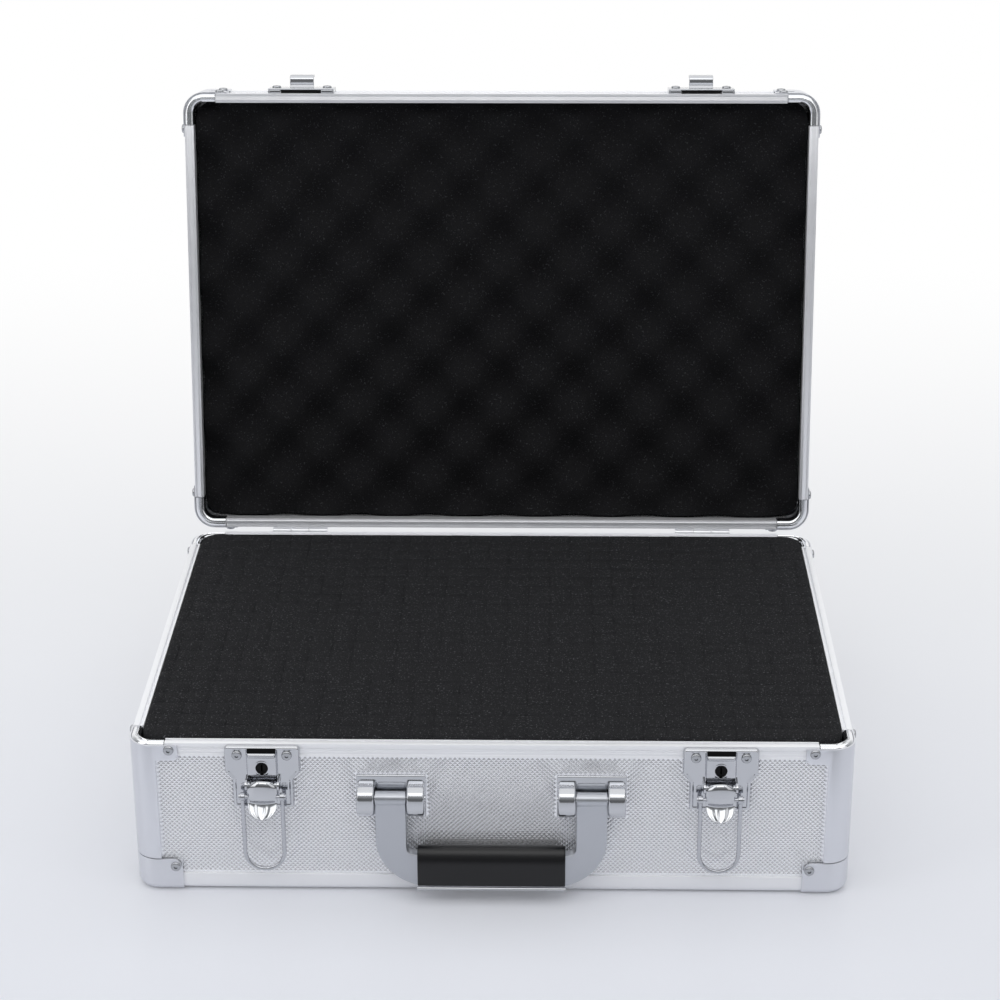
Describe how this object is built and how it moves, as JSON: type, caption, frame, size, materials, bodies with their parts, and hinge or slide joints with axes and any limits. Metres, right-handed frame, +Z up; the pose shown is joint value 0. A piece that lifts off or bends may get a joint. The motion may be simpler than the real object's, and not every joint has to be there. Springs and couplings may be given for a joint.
{
  "type": "aluminium case",
  "caption": "Foam-lined aluminium carrying case with a hinged lid, draw latches with key plugs, a drop handle, riveted corner covers and egg-crate foam in the lid.",
  "frame": {"origin": "centre of the base in plan, at the level that the ball corners rest on", "axes": "+Z up, front with the handle towards -Y, width along X, lid open as pictured"},
  "size_m": [0.455, 0.4359, 0.4291],
  "materials": {
    "embossed_panel": "satin",
    "extrusion": "satin",
    "corner_post": "satin",
    "rim_corner": "polished",
    "ball_corner": "satin",
    "rivet": "satin",
    "plated_hardware": "polished",
    "latch_bail": "satin",
    "hinge": "satin",
    "handle_frame": "satin",
    "grip": "satin",
    "key_plug": "satin",
    "foam": "matte"
  },
  "bodies": {
    "base": {"base_back_edge": "extrusion", "base_back_panel": "embossed_panel", "base_back_rim": "extrusion", "base_ball_corners": "ball_corner", "base_bottom_panel": "embossed_panel", "base_corner_posts": "corner_post", "base_corner_rivets": "rivet", "base_foam": "foam", "base_foam_pad": "foam", "base_front_edge": "extrusion", "base_front_panel": "embossed_panel", "base_front_rim": "extrusion", "base_hardware_rivets": "rivet", "base_left_edge": "extrusion", "base_left_panel": "embossed_panel", "base_left_rim": "extrusion", "base_right_edge": "extrusion", "base_right_panel": "embossed_panel", "base_right_rim": "extrusion", "base_rim_corners": "rim_corner", "handle_brackets": "plated_hardware", "handle_pins": "plated_hardware", "handle_screws": "rivet", "hinge_base_leaves": "hinge", "hinge_pins": "hinge", "latch_lever_pins": "plated_hardware", "left_latch_plate": "plated_hardware", "right_latch_plate": "plated_hardware"},
    "lid": {"hinge_lid_leaves": "hinge", "lid_back_edge": "extrusion", "lid_back_panel": "embossed_panel", "lid_back_rim": "extrusion", "lid_ball_corners": "ball_corner", "lid_corner_posts": "corner_post", "lid_corner_rivets": "rivet", "lid_foam": "foam", "lid_front_edge": "extrusion", "lid_front_panel": "embossed_panel", "lid_front_rim": "extrusion", "lid_hardware_rivets": "rivet", "lid_hooks": "plated_hardware", "lid_left_edge": "extrusion", "lid_left_panel": "embossed_panel", "lid_left_rim": "extrusion", "lid_right_edge": "extrusion", "lid_right_panel": "embossed_panel", "lid_right_rim": "extrusion", "lid_rim_corners": "rim_corner", "lid_top_panel": "embossed_panel"},
    "handle": {"handle_frame": "handle_frame", "handle_grip": "grip"},
    "left_lever": {"left_latch_lever": "plated_hardware", "left_latch_bail_pin": "latch_bail"},
    "left_bail": {"left_latch_bail": "latch_bail"},
    "left_key": {"left_latch_key_plug": "key_plug"},
    "right_lever": {"right_latch_lever": "plated_hardware", "right_latch_bail_pin": "latch_bail"},
    "right_bail": {"right_latch_bail": "latch_bail"},
    "right_key": {"right_latch_key_plug": "key_plug"}
  },
  "joints": [
    {"name": "lid_hinge", "type": "hinge", "parent": "base", "child": "lid", "pos_m": [0, 0.16055, 0.10655], "axis": [-1, 0, 0], "range_deg": [-100.7, 0]},
    {"name": "handle_swing", "type": "hinge", "parent": "base", "child": "handle", "pos_m": [0, -0.166, 0.0735], "axis": [-1, 0, 0], "range_deg": [0, 95]},
    {"name": "left_lever_pivot", "type": "hinge", "parent": "base", "child": "left_lever", "pos_m": [-0.142, -0.1642, 0.081], "axis": [-1, 0, 0], "range_deg": [0, 90]},
    {"name": "left_bail_swing", "type": "hinge", "parent": "left_lever", "child": "left_bail", "pos_m": [-0.142, -0.1666, 0.0742], "axis": [1, 0, 0], "range_deg": [-180, 0]},
    {"name": "left_key_turn", "type": "hinge", "parent": "base", "child": "left_key", "pos_m": [-0.142, -0.16, 0.0924], "axis": [0, -1, 0], "range_deg": [0, 90]},
    {"name": "right_lever_pivot", "type": "hinge", "parent": "base", "child": "right_lever", "pos_m": [0.142, -0.1642, 0.081], "axis": [-1, 0, 0], "range_deg": [0, 90]},
    {"name": "right_bail_swing", "type": "hinge", "parent": "right_lever", "child": "right_bail", "pos_m": [0.142, -0.1666, 0.0742], "axis": [1, 0, 0], "range_deg": [-180, 0]},
    {"name": "right_key_turn", "type": "hinge", "parent": "base", "child": "right_key", "pos_m": [0.142, -0.16, 0.0924], "axis": [0, -1, 0], "range_deg": [0, 90]}
  ]
}
